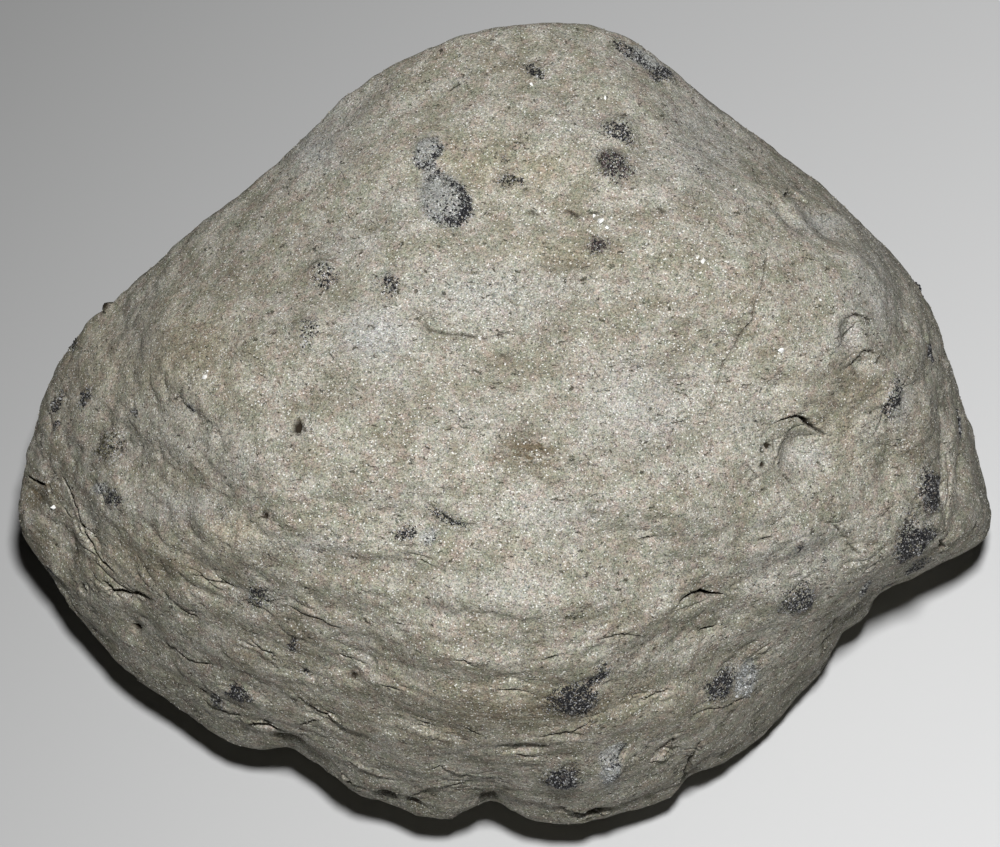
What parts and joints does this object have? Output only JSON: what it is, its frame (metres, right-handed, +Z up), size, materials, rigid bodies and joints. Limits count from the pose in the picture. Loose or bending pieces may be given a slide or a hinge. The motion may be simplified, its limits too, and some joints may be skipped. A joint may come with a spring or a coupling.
{
  "type": "pumice stone",
  "caption": "Loose pumice stone: a rounded, flattened lump of pale volcanic froth with dark crystals, parting cracks and a ledged lower edge, resting on a worn flat patch.",
  "frame": {"origin": "middle of the bounding box at the height of the worn patch that the stone rests on", "axes": "+X along the stone's longest side, to the right as seen from the front; +Y to the back; +Z up"},
  "size_m": [0.108, 0.081, 0.0647],
  "materials": {
    "pumice": "matte"
  },
  "bodies": {
    "root": {"pumice_stone": "pumice"}
  },
  "joints": []
}
